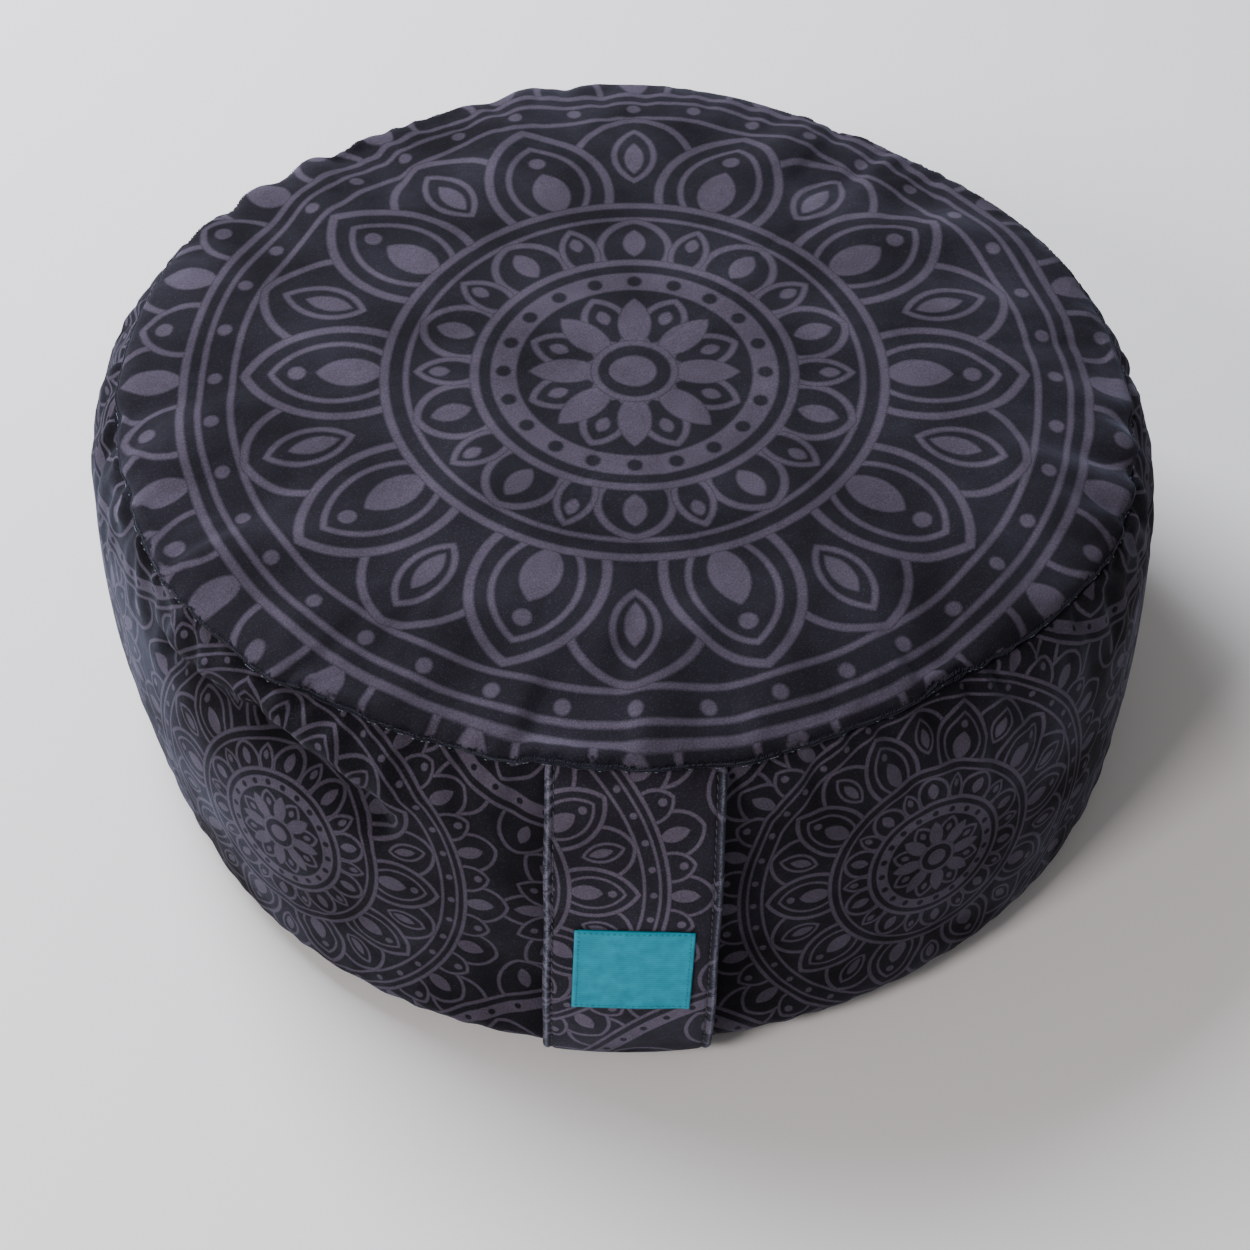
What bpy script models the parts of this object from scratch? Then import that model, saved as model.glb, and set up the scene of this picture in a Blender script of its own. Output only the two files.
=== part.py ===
"""Zafu: a round, filled meditation cushion with a carry strap and a sewn label.

Lengths are in metres and +Z is up. The origin is under the middle of the whole
outline, on the flat underside, and the strap is at the front, on -Y. Azimuths
are in degrees, counter-clockwise from +X, so the front is 270.
"""
import math

import bpy
import bmesh
from mathutils import Vector

MM = 0.001
COLLECTION = "zafu_cushion"

# Driving dimensions, in millimetres
TOP_SEAM_HEIGHT = 139.0     # mean height of the seam between top panel and band
BASE_SEAM_HEIGHT = 8.0      # seam between band and base panel
CROWN_RISE = 13.0           # top panel's middle above its seam
SEAM_DEPTH = 3.0            # how far a seam is drawn in below its lips
SEAM_LIP = 5.0              # from a seam to the lip on either side of it
COLUMNS = 36                # cage columns round the cushion
# From the origin to the point that the tables below measure from
PLAN_MIDDLE_X = 1.55
PLAN_MIDDLE_Y = 4.87

STRAP_WIDTH = 60.0
STRAP_THICKNESS = 2.4
LABEL_WIDTH = 41.0
LABEL_HEIGHT = 38.0
LABEL_THICKNESS = 1.0
CLEAR = 0.35                # gap between touching pieces

# The uneven plan of the filled cushion, one row for each section round it.
# Radii in mm: top seam, shoulder, belly and base seam. Then the seam's lift.
SECTIONS = (
    # azimuth, seam_r, shoulder_r, belly_r, base_r, seam_lift
    (5, 189, 199, 202, 196, -1),
    (30, 185, 197, 203, 198, 0),
    (55, 175, 186, 193, 191, 1),
    (90, 181, 190, 197, 193, 2),
    (125, 178, 188, 195, 192, 2),
    (152, 191, 206, 211, 200, 1),
    (180, 190, 201, 204, 196, 0),
    (205, 184, 191, 196, 190, 1),
    (230, 180, 191, 199, 196, 2),
    (250, 172, 184, 195, 199, 1),
    (268, 173, 180, 190, 199.5, 1),
    (285, 174, 180, 192, 198.5, 0),
    (305, 175, 189, 201, 200, -1),
    (330, 188, 197, 203, 201, -2),
)
SHOULDER_AT = 0.17          # share of the band's height down from the top seam
BELLY_AT = 0.66
# Cage rows of the top panel: share of the seam radius, share of the crown
TOP_ROWS = ((0.25, 1.0), (0.48, 0.97), (0.68, 0.90), (0.83, 0.76), (0.93, 0.52))
# Cage rows of the band: share of its height down from the top seam
BAND_ROWS = (0.10, 0.19, 0.30, 0.42, 0.54, 0.66, 0.78, 0.88)
# Cage rows of the flat underside: share of the base seam radius
BASE_ROWS = (0.93, 0.72, 0.40)

# Soft folds in the band: a line from one azimuth and height to another
BAND_FOLDS = (
    # azimuth_a, height_a, azimuth_b, height_b, half_width, out
    (211, 106, 228, 117, 13, -5),
    (228, 117, 243, 103, 13, -5),
    (229, 130, 248, 118, 11, 3),
    (244, 38, 262, 42, 10, -2.5),
)
# Soft folds in the top panel: a line from one azimuth and radius to another
TOP_FOLDS = (
    # azimuth_a, radius_a, azimuth_b, radius_b, half_width, up
    (317, 112, 352, 150, 30, 2.5),
)

# The strap's outer face, from the top seam down to the base seam
STRAP_PATH = (
    # height, distance in front of the middle
    (141.5, 172.9),
    (136.0, 177.4),
    (128.0, 182.2),
    (115.0, 188.2),
    (95.0, 194.5),
    (72.0, 199.5),
    (48.0, 203.0),
    (26.0, 204.2),
    (13.0, 202.2),
    (6.0, 198.7),
)
STRAP_STEPS = 26
STRAP_TOP_X = 4.2           # the strap's middle, at its top and bottom ends
STRAP_BOTTOM_X = 1.0
STRAP_LEAN = 0.06           # right edge stands off further, halfway down
STRAP_FLATNESS = 0.7        # how much of the cushion's curve the strap loses halfway
LABEL_MIDDLE_X = 3.1
LABEL_MIDDLE_HEIGHT = 63.0


def new_material(name, colour, roughness):
    """Return a plain Principled material."""
    material = bpy.data.materials.new(name)
    material.use_nodes = True
    shader = material.node_tree.nodes["Principled BSDF"]
    shader.inputs["Base Color"].default_value = (*colour, 1.0)
    shader.inputs["Roughness"].default_value = roughness
    shader.inputs["Metallic"].default_value = 0.0
    return material


def spline(knots, values, at):
    """Smooth curve through values at rising knots, read at one place."""
    last = len(knots) - 1
    cell = 0
    while cell < last - 1 and at > knots[cell + 1]:
        cell += 1

    def slope(i):
        low = max(i - 1, 0)
        high = min(i + 1, last)
        return (values[high] - values[low]) / (knots[high] - knots[low])

    span = knots[cell + 1] - knots[cell]
    t = min(max((at - knots[cell]) / span, 0.0), 1.0)
    start = values[cell] * (1 + 2 * t) * (1 - t) ** 2
    end = values[cell + 1] * (3 - 2 * t) * t ** 2
    turn_in = slope(cell) * span * t * (1 - t) ** 2
    turn_out = -slope(cell + 1) * span * t ** 2 * (1 - t)
    return start + end + turn_in + turn_out


def section(azimuth):
    """The plan's radii and seam lift at one azimuth, from the section table."""
    count = len(SECTIONS)
    rows = [SECTIONS[i % count] for i in range(-2, count + 2)]
    turns = [i // count for i in range(-2, count + 2)]
    knots = [row[0] + 360 * turn for row, turn in zip(rows, turns)]
    return [
        spline(knots, [row[column] for row in rows], azimuth % 360)
        for column in range(1, 6)
    ]


def distance_to_line(point, start, end):
    """Distance from a point to a straight stretch, all in the same plane."""
    along = end - start
    share = (point - start).dot(along) / along.length_squared
    nearest = start + along * min(max(share, 0.0), 1.0)
    return (point - nearest).length


def ridge(distance, half_width):
    """Height share of a soft ridge at a distance from its middle line."""
    return math.exp(-((distance / half_width) ** 2))


def band_fold_out(azimuth, height, radius):
    """How far the folds push the band out, at one place on it."""
    def place(at_azimuth, at_height):
        return Vector((math.radians(at_azimuth) * radius, at_height))

    out = 0.0
    for azimuth_a, height_a, azimuth_b, height_b, half_width, rise in BAND_FOLDS:
        near = distance_to_line(
            place(azimuth, height), place(azimuth_a, height_a), place(azimuth_b, height_b)
        )
        out += rise * ridge(near, half_width)
    return out


def top_fold_up(azimuth, radius):
    """How far the folds lift the top panel, at one place on it."""
    def place(at_azimuth, at_radius):
        turn = math.radians(at_azimuth)
        return Vector((at_radius * math.cos(turn), at_radius * math.sin(turn)))

    up = 0.0
    for azimuth_a, radius_a, azimuth_b, radius_b, half_width, rise in TOP_FOLDS:
        near = distance_to_line(
            place(azimuth, radius), place(azimuth_a, radius_a), place(azimuth_b, radius_b)
        )
        up += rise * ridge(near, half_width)
    return up


def cushion_rows(azimuth):
    """Radius and height of each cage row, from the crown down to the underside."""
    seam_r, shoulder_r, belly_r, base_r, lift = section(azimuth)
    seam_z = TOP_SEAM_HEIGHT + lift
    rows = []
    for share, crown in TOP_ROWS:
        height = seam_z + (TOP_SEAM_HEIGHT - seam_z) * (1 - share) + CROWN_RISE * crown
        radius = seam_r * share
        rows.append((radius, height + top_fold_up(azimuth, radius)))
    rows.append((seam_r - 0.4 * SEAM_LIP, seam_z + 0.8 * SEAM_LIP))
    rows.append((seam_r - SEAM_DEPTH, seam_z))
    rows.append((seam_r + 0.4 * SEAM_LIP, seam_z - 0.7 * SEAM_LIP))
    drop = seam_z - BASE_SEAM_HEIGHT
    knots = (0.0, SHOULDER_AT, BELLY_AT, 1.0)
    for share in BAND_ROWS:
        radius = spline(knots, (seam_r, shoulder_r, belly_r, base_r), share)
        height = seam_z - drop * share
        rows.append((radius + band_fold_out(azimuth, height, belly_r), height))
    rows.append((base_r + 0.5 * SEAM_LIP, BASE_SEAM_HEIGHT + SEAM_LIP))
    rows.append((base_r - SEAM_DEPTH, BASE_SEAM_HEIGHT))
    rows.append((base_r - 0.5 * SEAM_LIP, 0.4 * SEAM_LIP))
    for share in BASE_ROWS:
        rows.append((base_r * share, 0.0))
    return rows


def build_cushion(material):
    """The filled body: crowned top panel, bulging band and flat base panel."""
    row_count = len(cushion_rows(0.0))
    mesh = bpy.data.meshes.new("cushion")
    cage = bmesh.new()
    bmesh.ops.create_uvsphere(cage, u_segments=COLUMNS, v_segments=row_count + 1, radius=1.0)
    rows_at = {}
    for vert in cage.verts:
        polar = math.acos(min(max(vert.co.z, -1.0), 1.0))
        row = round(polar / math.pi * (row_count + 1)) - 1
        if row < 0:
            vert.co = Vector((0.0, 0.0, TOP_SEAM_HEIGHT + CROWN_RISE)) * MM
            continue
        if row >= row_count:
            vert.co = Vector((0.0, 0.0, 0.0))
            continue
        turn = math.atan2(vert.co.y, vert.co.x)
        column = round(math.degrees(turn) * COLUMNS / 360) % COLUMNS
        if column not in rows_at:
            rows_at[column] = cushion_rows(column * 360 / COLUMNS)
        radius, height = rows_at[column][row]
        vert.co = Vector((radius * math.cos(turn), radius * math.sin(turn), height)) * MM
    cage.to_mesh(mesh)
    cage.free()
    mesh.materials.append(material)
    mesh.shade_smooth()
    cushion = bpy.data.objects.new("cushion", mesh)
    smooth = cushion.modifiers.new("Filled form", "SUBSURF")
    smooth.levels = 1
    smooth.render_levels = 1
    return cushion


def strap_distance(height, across):
    """Distance of the strap's outer face in front of the middle, at one place."""
    rows = sorted(STRAP_PATH)
    middle = spline([row[0] for row in rows], [row[1] for row in rows], height)
    share = (height - rows[0][0]) / (rows[-1][0] - rows[0][0])
    loose = math.sin(math.pi * min(max(share, 0.0), 1.0))
    curve = across ** 2 / (2 * middle) * (1 - STRAP_FLATNESS * loose)
    return middle - curve + STRAP_LEAN * loose * across


def strap_middle(height):
    """Where the strap's middle line lies in X, at a height."""
    top = STRAP_PATH[0][0]
    bottom = STRAP_PATH[-1][0]
    share = (top - height) / (top - bottom)
    return STRAP_TOP_X + (STRAP_BOTTOM_X - STRAP_TOP_X) * share


def sheet_on_strap(name, width, top, bottom, steps, proud, thickness, middle, material):
    """A strip that follows the strap's outer face, thickened inwards."""
    mesh = bpy.data.meshes.new(name)
    cloth = bmesh.new()
    bmesh.ops.create_grid(cloth, x_segments=6, y_segments=steps, size=0.5)
    for vert in cloth.verts:
        height = bottom + (top - bottom) * (vert.co.y + 0.5)
        across = middle(height) + width * vert.co.x
        front = strap_distance(height, across) + proud
        vert.co = Vector((across, -front, height)) * MM
    cloth.to_mesh(mesh)
    cloth.free()
    mesh.materials.append(material)
    mesh.shade_smooth()
    mesh.set_sharp_from_angle(angle=math.radians(40))
    sheet = bpy.data.objects.new(name, mesh)
    solid = sheet.modifiers.new("Cloth thickness", "SOLIDIFY")
    solid.thickness = thickness * MM
    solid.offset = -1.0
    return sheet


def build_carry_strap(material):
    """The carry strap, sewn into both seams and standing off the band between."""
    return sheet_on_strap(
        "carry_strap", STRAP_WIDTH, STRAP_PATH[0][0], STRAP_PATH[-1][0], STRAP_STEPS,
        0.0, STRAP_THICKNESS, strap_middle, material,
    )


def build_label(material):
    """The label sewn flat on the strap, in its lower half."""
    return sheet_on_strap(
        "label", LABEL_WIDTH,
        LABEL_MIDDLE_HEIGHT + LABEL_HEIGHT / 2, LABEL_MIDDLE_HEIGHT - LABEL_HEIGHT / 2, 7,
        LABEL_THICKNESS + CLEAR, LABEL_THICKNESS, lambda height: LABEL_MIDDLE_X, material,
    )


def main():
    for thing in list(bpy.data.objects):
        bpy.data.objects.remove(thing, do_unlink=True)
    collection = bpy.data.collections.new(COLLECTION)
    bpy.context.scene.collection.children.link(collection)
    cover = new_material("printed_cover_cloth", (0.022, 0.021, 0.028), 0.85)
    strap_cloth = new_material("printed_strap_cloth", (0.026, 0.025, 0.032), 0.85)
    satin = new_material("turquoise_label_satin", (0.003, 0.325, 0.423), 0.45)
    for piece in (build_cushion(cover), build_carry_strap(strap_cloth), build_label(satin)):
        piece.location = Vector((PLAN_MIDDLE_X, PLAN_MIDDLE_Y, 0.0)) * MM
        collection.objects.link(piece)


main()
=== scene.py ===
"""Zafu: a round, filled meditation cushion in printed cloth, with a carry strap.

Lengths are in mm until MM turns them into Blender's metres; only the lights, the
floor and the camera are placed in metres. +Z is up and the strap is at the front,
on -Y. Azimuths are in degrees, counter-clockwise from +X.
"""
import math

import bmesh
import bpy
import numpy as np
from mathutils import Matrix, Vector
from mathutils.bvhtree import BVHTree


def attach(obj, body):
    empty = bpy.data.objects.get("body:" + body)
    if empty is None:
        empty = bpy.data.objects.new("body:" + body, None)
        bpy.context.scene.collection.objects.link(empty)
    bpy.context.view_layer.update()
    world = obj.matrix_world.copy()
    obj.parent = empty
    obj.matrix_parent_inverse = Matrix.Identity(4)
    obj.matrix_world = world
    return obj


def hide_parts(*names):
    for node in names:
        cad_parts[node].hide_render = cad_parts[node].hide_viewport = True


bl_info = {
    "name": "Zafu cushion",
    "version": (1, 0, 0),
    "blender": (4, 5, 0),
    "location": "View3D > Sidebar > Zafu",
    "description": "Builds a round filled meditation cushion in printed cloth",
    "category": "Add Mesh",
}

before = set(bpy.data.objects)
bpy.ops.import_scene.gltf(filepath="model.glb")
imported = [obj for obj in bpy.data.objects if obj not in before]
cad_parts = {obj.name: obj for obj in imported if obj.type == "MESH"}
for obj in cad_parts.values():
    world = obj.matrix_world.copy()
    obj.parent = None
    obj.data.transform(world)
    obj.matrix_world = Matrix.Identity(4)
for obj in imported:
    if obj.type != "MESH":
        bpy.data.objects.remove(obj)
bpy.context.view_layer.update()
MM = 0.001
TAU = 2 * math.pi

# The cushion's plan is measured from this point
PLAN_MIDDLE = Vector((1.55, 4.87, 0.0)) * MM

# ---- cushion sizes
# The cover is measured from the top seam: inwards over the top panel below 0, and
# above 0 down the band and then inwards under the base.
TOP_SEAM = 139.0
BASE_SEAM = 8.0
PANEL_RADIUS = 184.0  # mean radius of the top panel
BAND_DEPTH = 131.0
RIM_REACH = 38.0  # how far the rounded rim reaches from the top seam
FOOT_REACH = 22.0  # and from the base seam
UNDERSIDE_ROWS = (2.5, 6.0, 11.0, 17.0, 24.0, 45.0, 80.0, 120.0, 150.0, 175.0)
SEAM_LIFTS = (
    # azimuth, top seam's lift above its mean height in mm
    (5, -1), (30, 0), (55, 1), (90, 2), (125, 2), (152, 1), (180, 0),
    (205, 1), (230, 2), (250, 0.3), (268, 1), (285, 0), (305, -1), (330, -2),
)
COLUMNS = 720  # mesh columns round the finished cushion
FIRST_ROW = 0.7  # mesh row next to a seam
ROW_GROWTH = 1.22  # each row away from a seam is so much wider
WIDEST_ROW = 5.2
FACET_BLUR_DEG = 2.2  # evens out the frame's facets
SIMULATED_FRAMES = 20
WRINKLE_CAP = 4.0
SWELL_BLUR_DEG = 9.0  # wider waves than this are the CAD's shape already
PANEL_WRINKLES = 48.0  # how far wrinkles reach over the panel
BAND_WRINKLES = 70.0  # how far from the base seam they start to fade
INSIDE_RADIUS = 100.0  # a radius well inside the band
BAND_RADIUS = 200.0
CROWN_POINT = 0.05  # how far the middle point stands above its ring

# Irregular waves round the cushion: fewest cycles, most cycles, seed
GATHERS = (92, 126, 12)
GATHER_STRENGTH = (5, 22, 11)
PANEL_DENTS = (9, 24, 31)
EDGE_WAVES = (12, 40, 21)
RUBBED_SPOTS = (20, 60, 5)

# Relief that the sewing leaves
SEAM_GATHERS = ((0.0, 0.8), (BAND_DEPTH, 0.3))  # a seam's place, its gathers' depth
GATHER_REACH = 5.5
GATHER_SLANT = 0.10  # degrees for each mm off the seam
GROOVE_DEPTH = 0.8  # where the thread draws the cloth in
GROOVE_HALF = 1.3
BASE_RELIEF = 2.0  # how far it goes on under the base
DENT_DEPTH = 1.9  # broad dents in the panel inside its rim
DENT_MIDDLE = -30.0
DENT_HALF = 28.0
DENT_EDGE = 14.0
DENT_SLANT = 0.25
EDGE_BLUR_DEG = 1.5
EDGE_UNEVEN = 0.12  # share by which the roll's reach varies
FOLDS_FROM = 3.0  # the band's folds keep so far from the top seam

# Pile and wear at the top seam
RUBBED_SHARE = 0.3
TUFTED_REACH = 6.5
PILE_PLACES = (-2.9, -1.7, -0.7)
PILE_LIFT = 0.15
LINT_PLACE = -1.2
LINT_LIFT = 0.5

# How far the panel's edge rolls out over the top seam, round the cushion
PANEL_EDGE = (
    # azimuth, mm, share of it by which the band's top edge follows
    (20, 1, 0.5), (90, 1.2, 0.3), (150, 1, 0.3), (180, 0.4, 0), (196, 0.6, 0),
    (203, 4.2, 0.1), (228, 4.4, 0.1), (240, 3.6, 0.1), (248, 3.8, 0), (256, 5.6, 0),
    (270, 5.3, 0), (281, 5.6, 0), (291, 3.8, 0.6), (302, 3.3, 0.85), (310, 0.6, 0.85),
    (330, 0.7, 0.85), (335, 3.6, 0.9), (342, 2.5, 0.9), (350, 1, 0.7),
)
# The roll's section
EDGE_ROLL = (
    # place, share outwards, share upwards, share outwards where the band follows
    (-26, 0, 0, 0), (-16, 0.25, 0.02, 0), (-12.4, 0.38, 0.04, 0), (-9.6, 0.5, 0.06, 0),
    (-7.3, 0.64, 0.10, 0), (-5.4, 0.76, 0.12, 0), (-3.9, 0.87, 0.10, 0),
    (-2.6, 0.98, 0.02, 0), (-1.6, 1, -0.10, 0), (-0.7, 0.70, -0.21, 0.27),
    (0, 0.09, -0.08, 0.86), (0.7, -0.06, 0, 0.98), (2.6, 0, 0, 0.84),
    (6, 0, 0, 0.58), (12, 0, 0, 0.24), (20, 0, 0, 0),
)
# Puckers that start at the top seam
SEAM_PUCKERS = (
    # azimuth, side (-1 panel, 1 band), depth, half_width, reach, in mm
    (179, 1, 2.6, 6, 15), (187, 1, 3.6, 5.5, 14), (193, 1, 3, 4.5, 13),
    (199, 1, 3.6, 5, 15), (206, 1, 2.4, 5, 17), (212, 1, 1.6, 4, 18),
    (217, 1, 1.4, 3.5, 16), (184, -1, 1.6, 6, 12), (196, -1, 1.6, 6, 12),
    (131, -1, 2, 7, 18), (139, -1, 2.2, 7, 18), (147, -1, 2, 7, 18),
    (98, -1, 1.6, 7, 16), (108, -1, 1.8, 7, 16), (60, -1, 1.6, 7, 16),
    (286, 1, 1.8, 3.5, 14), (292, 1, 1.4, 3.5, 12), (341, -1, 2.2, 5, 18),
    (348, -1, 2.6, 5, 20), (355, -1, 2, 5.5, 18), (345, 1, 1.8, 5, 14),
)
# Folds that the filling leaves in the band, and how far each stands out
BAND_FOLDS = (
    # azimuth_a, height_a, azimuth_b, height_b, half_width, out, in mm but azimuths
    (210, 105, 229, 115, 5, -5),
    (229, 115, 243, 101, 6.5, -8),
    (213, 117, 231, 125, 6, 2.6),
    (231, 125, 246, 114, 7, 4),
    (250, 60, 262, 40, 5, -1.2),
    (283, 118, 290, 96, 4, -1.4),
)

# ---- strap and label
STRAP_PATH = (
    # height, distance of the outer face in front of the middle, in mm
    (137, 167.5), (138, 172.4), (134.8, 177.6), (127.5, 182.3), (115, 188.2),
    (95, 194.5), (72, 199.5), (48, 203), (26, 204.2), (13, 202.2),
    (6, 198.7),
)
STRAP_HEIGHTS, STRAP_FRONTS = zip(*STRAP_PATH)
STRAP_KNOTS = [0.0]
for upper, lower in zip(STRAP_PATH, STRAP_PATH[1:]):
    STRAP_KNOTS.append(STRAP_KNOTS[-1] + math.dist(upper, lower))
STRAP_FOOT = 6.0
STRAP_HEAD = 141.5
STRAP_TOP_X = 4.2
STRAP_BOTTOM_X = 1.0
STRAP_LEAN = 0.06  # for each mm to the right it stands this much further out
STRAP_FLATNESS = 0.7  # 0 lies as round as the band, 1 is flat
STRAP_RIPPLE = 0.25
STRAP_VALLEY = 26.9  # middle of the stitched valley
STRAP_BEAD = 28.8  # crest of the folded edge beside it
STRAP_FRONT = (
    # across, out: the front's right half, from the edge to the middle, in mm
    (30, -1.3), (29.8, -0.6), (29.4, -0.1), (28.8, 0.2), (28.1, 0.25), (27.5, 0),
    (27.1, -0.45), (26.9, -0.65), (26.7, -0.45), (26.3, -0.1), (25.4, 0.1), (22, 0.2),
    (17, 0.25), (10, 0.3), (0, 0.3),
)
STRAP_PRINT_SHIFT = (62.0, 52.0)  # of the strap's top in the design
LABEL_WIDE = 41.0
LABEL_TALL = 38.0
LABEL_X = 3.1
LABEL_MIDDLE = 63.0  # height
LABEL_RISE = 0.03  # it is askew: how its level edges rise to the right,
LABEL_ASKEW = 0.042  # and how its upright ones lean to the right
LABEL_GAP = 0.35  # gap between the strap and the label
LABEL_FRONT = (
    (20.5, 0.45), (20.3, 0.8), (19.8, 0.98), (19.2, 1), (18.4, 0.85), (16, 0.85),
    (12, 0.9), (8, 0.9), (4, 0.9), (0, 0.9),
)

# ---- print
PRINT_SHIFT_X = 4.0 * MM  # the panel's design has its middle off the panel's
PANEL_PRINT_SCALE = 0.94  # and this size against the tables below
BAND_PRINT_AZIMUTH = 231.8  # where one band motif has its middle
BAND_PRINT_TURN = 72.0  # degrees from one to the next

# The design is laid out in mm and repeats at a pitch. Each row is a motif: a disc
# where petals is 0, else a ring of pointed leaves from base to tip.
# Line is the width of its light outline: 0 leaves it dark, twice its half width
# fills it. Later rows lie over earlier ones.
PRINT_PITCH = 588.0
BAND_PRINT_SCALE = 0.42
MAIN_MOTIFS = (
    # petals, turn, base, tip, half_width, line
    (20, 0.5, 160, 214, 22, 3),
    (20, 0.5, 176, 201, 6.5, 13),
    (20, 0, 160, 200, 15, 2.8),
    (20, 0, 186, 193, 3.5, 7),
    (0, 0, 0, 178, 178, 3.2),
    (0, 0, 0, 170.5, 170.5, 2.4),
    (40, 0.5, 161.2, 167, 2.9, 5.8),
    (0, 0, 0, 158, 158, 2.6),
    (10, 0, 92, 157, 27, 3.2),
    (10, 0, 112, 148, 9.5, 2.4),
    (10, 0, 118, 138, 4, 8),
    (10, 0.5, 74, 154, 26, 3.6),
    (10, 0.5, 88, 143, 17, 2.4),
    (10, 0.5, 97, 124, 7.5, 15),
    (10, 0.5, 128, 135, 3.5, 7),
    (0, 0, 0, 99, 99, 3.4),
    (0, 0, 0, 90, 90, 2.2),
    (10, 0, 52, 89, 15.5, 3),
    (10, 0, 66, 82, 4.5, 9),
    (10, 0.5, 56, 86, 8, 2.4),
    (10, 0.5, 72, 80, 2.6, 5.2),
    (0, 0, 0, 64, 64, 3.4),
    (0, 0, 0, 56, 56, 112),
    (0, 0, 0, 46, 46, 0),
    (20, 0.5, 48, 54, 3, 0),
    (8, 0, 14, 44, 9.5, 2.6),
    (8, 0, 28, 36, 2.6, 5.2),
    (8, 0.5, 12, 41, 6.5, 13),
    (0, 0, 0, 17, 17, 2.8),
    (0, 0, 0, 8.5, 8.5, 17),
)
SIDE_MOTIFS = (
    (8, 0.5, 24, 94, 20, 3.2),
    (8, 0, 24, 80, 15, 2.8),
    (8, 0.5, 44, 76, 6.5, 13),
    (8, 0, 60, 67, 3, 6),
    (0, 0, 0, 40, 40, 3.4),
    (0, 0, 0, 32, 32, 64),
    (0, 0, 0, 21, 21, 0),
    (12, 0.5, 23.8, 29.2, 2.7, 0),
    (0, 0, 0, 9.5, 9.5, 19),
)
CORNER_MOTIFS = (
    (20, 0.5, 180, 240, 26, 3.2),
    (20, 0.5, 208, 228, 5.5, 11),
    (0, 0, 0, 204, 204, 3.4),
    (0, 0, 0, 195, 195, 390),
    (0, 0, 0, 183, 183, 0),
    (48, 0.5, 186, 192, 3, 0),
    (12, 0.5, 112, 181, 25, 3.2),
    (12, 0.5, 136, 166, 9, 18),
)
PRINT_EDGE = 0.6  # how softly an outline fades into the ground

CLOTH_GRAINS = (
    # name, size in mm, detail, roughness
    ("nap", 0.6, 3.0, 0.75),        # clumps of pile are 0.4 mm, drawn so that they show
    ("tufts", 2.2, 2.0, 0.6),       # tufts along a seam
    ("filling", 20.0, 3.0, 0.5),    # soft unevenness of the filling under the cloth
    ("patches", 40.0, 3.0, 0.55),   # paler and darker patches that handling leaves
)
BANDS_TO_A_UNIT = 3.2  # in a wave texture of scale 1

# ---- stage
LOOKED_AT = Vector((2.04, 0.0, 14.7)) * MM
LIGHTS = (
    # name, place, size, watts, colour
    ("window", (-0.92, 0.92, 1.38), (1.0, 1.0), 61.0, "#f3f6ff"),
    ("fill", (-1.3, -1.35, 1.6), (0.6, 0.6), 31.0, "#fff8f4"),
)
DAYLIGHT = "#fffaf8"
DAYLIGHT_STRENGTH = 0.26
PAPER = "#fafafa"
FLOOR_SIZE = 12.0
FLOOR_DROP = 0.0004  # keeps the floor just off the cushion's base


def linear_colour(code):
    """Turn an sRGB hex colour into linear red, green and blue."""
    parts = [int(code[i:i + 2], 16) / 255 for i in (1, 3, 5)]
    return tuple(c / 12.92 if c <= 0.04045 else ((c + 0.055) / 1.055) ** 2.4 for c in parts)


def colour_choice(name, description, code):
    """A colour that a user may change, with its default as an sRGB hex code."""
    return bpy.props.FloatVectorProperty(
        name=name, description=description, subtype="COLOR", size=3, min=0.0, max=1.0,
        default=linear_colour(code),
    )


class ZafuCloth(bpy.types.PropertyGroup):
    """Colours of the cloth, the print and the label."""

    ground: colour_choice("Ground", "Dark ground of the printed cloth", "#1c1a21")
    ink: colour_choice("Print", "Mauve-grey lines of the print", "#47414e")
    worn: colour_choice("Worn edge", "Pale fibres on rubbed folds and seams", "#848ba0")
    pile: colour_choice("Seam pile", "Dark tufts that stand along the top seam", "#12121b")
    label: colour_choice("Label", "Turquoise of the sewn label", "#0093ac")


class ZafuSizes(bpy.types.PropertyGroup):
    """Sizes of the padded cushion and its sewing."""

    columns: bpy.props.IntProperty(
        name="Columns", description="Mesh columns round the simulated cover",
        default=240, min=90, max=400,
    )
    slack: bpy.props.FloatProperty(
        name="Slack", description="How much longer the panels are cut than the seams hold them",
        default=0.045, min=0.0, max=0.2,
    )
    pressure: bpy.props.FloatProperty(
        name="Pressure", description="How hard the filling presses on the cover",
        default=4.0, min=0.0, max=20.0,
    )
    stitch: bpy.props.FloatProperty(
        name="Stitch", description="Length of one stitch",
        default=2.4 * MM, min=0.5 * MM, max=8 * MM, subtype="DISTANCE", unit="LENGTH",
    )


class ZafuStage(bpy.types.PropertyGroup):
    """The camera's place and lens."""

    elevation: bpy.props.FloatProperty(
        name="Elevation", description="How far the camera looks down",
        default=math.radians(49.5), subtype="ANGLE", unit="ROTATION",
    )
    distance: bpy.props.FloatProperty(
        name="Distance", description="From the camera to the point that it looks at",
        default=1.0605, min=0.1, max=10.0, subtype="DISTANCE", unit="LENGTH",
    )
    lens: bpy.props.FloatProperty(
        name="Lens", description="Focal length in mm on a 36 mm sensor",
        default=75.57, min=10.0, max=300.0,
    )


# ---- node helpers
def set_inputs(tree, node, inputs):
    """Set or link a node's inputs."""
    for key, value in inputs.items():
        if isinstance(value, bpy.types.NodeSocket):
            tree.links.new(value, node.inputs[key])
        else:
            node.inputs[key].default_value = value


def add_node(tree, kind, inputs=None, **settings):
    """Add one node, set its properties, and set or link its inputs."""
    node = tree.nodes.new(kind)
    for name, value in settings.items():
        setattr(node, name, value)
    set_inputs(tree, node, inputs or {})
    return node


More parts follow.
